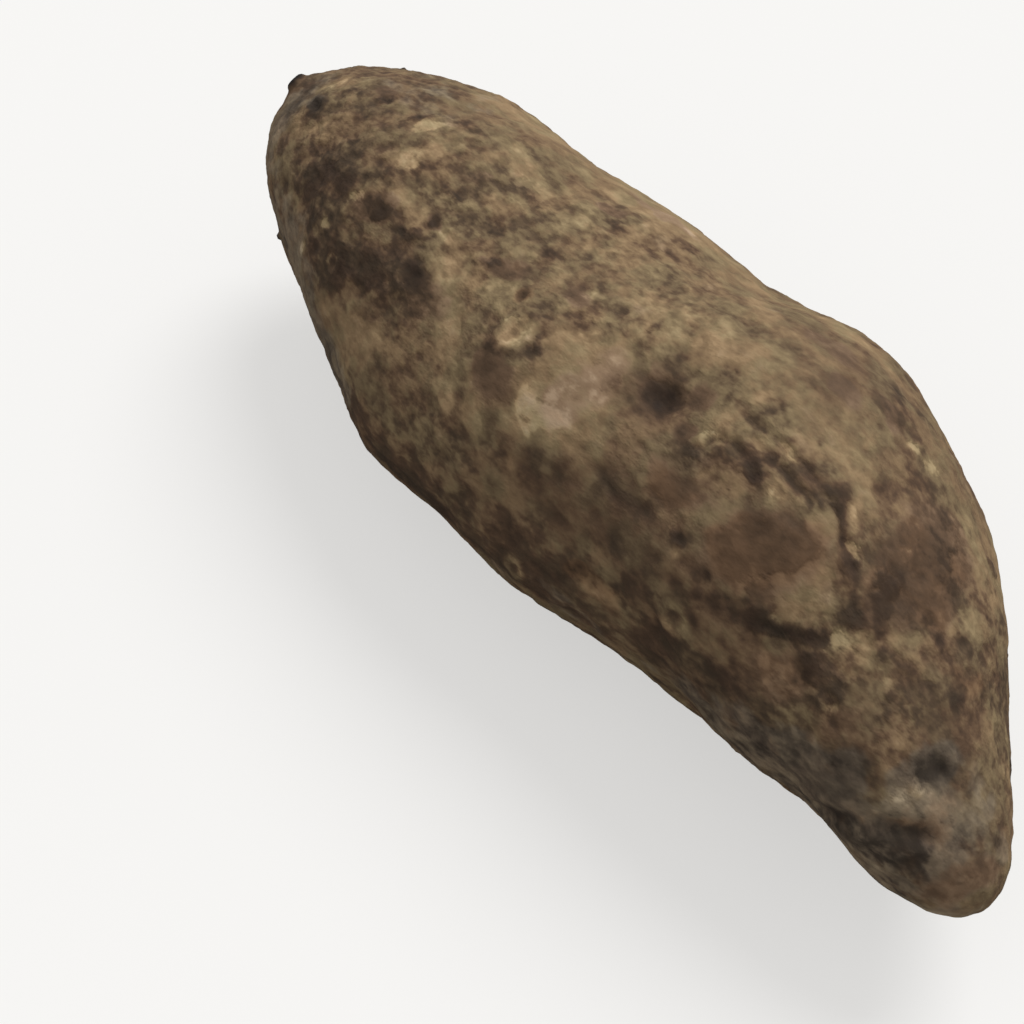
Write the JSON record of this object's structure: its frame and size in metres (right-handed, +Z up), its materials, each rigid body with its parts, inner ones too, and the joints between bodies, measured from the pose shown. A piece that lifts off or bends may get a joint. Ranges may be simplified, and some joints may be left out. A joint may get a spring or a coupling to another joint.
{
  "type": "elephant foot yam tuber",
  "caption": "Long, thick-skinned yam tuber with bud pits and scars, lying on a small worn flat spot.",
  "frame": {"origin": "under the middle of the tuber's box, on the surface that it rests on", "axes": "+X runs from the crown, where the shoot grew, to the tail end; +Z is up as the tuber lies"},
  "size_m": [0.2756, 0.1002, 0.0871],
  "materials": {
    "tuber_skin": "matte"
  },
  "bodies": {
    "root": {"tuber": "tuber_skin"}
  },
  "joints": []
}
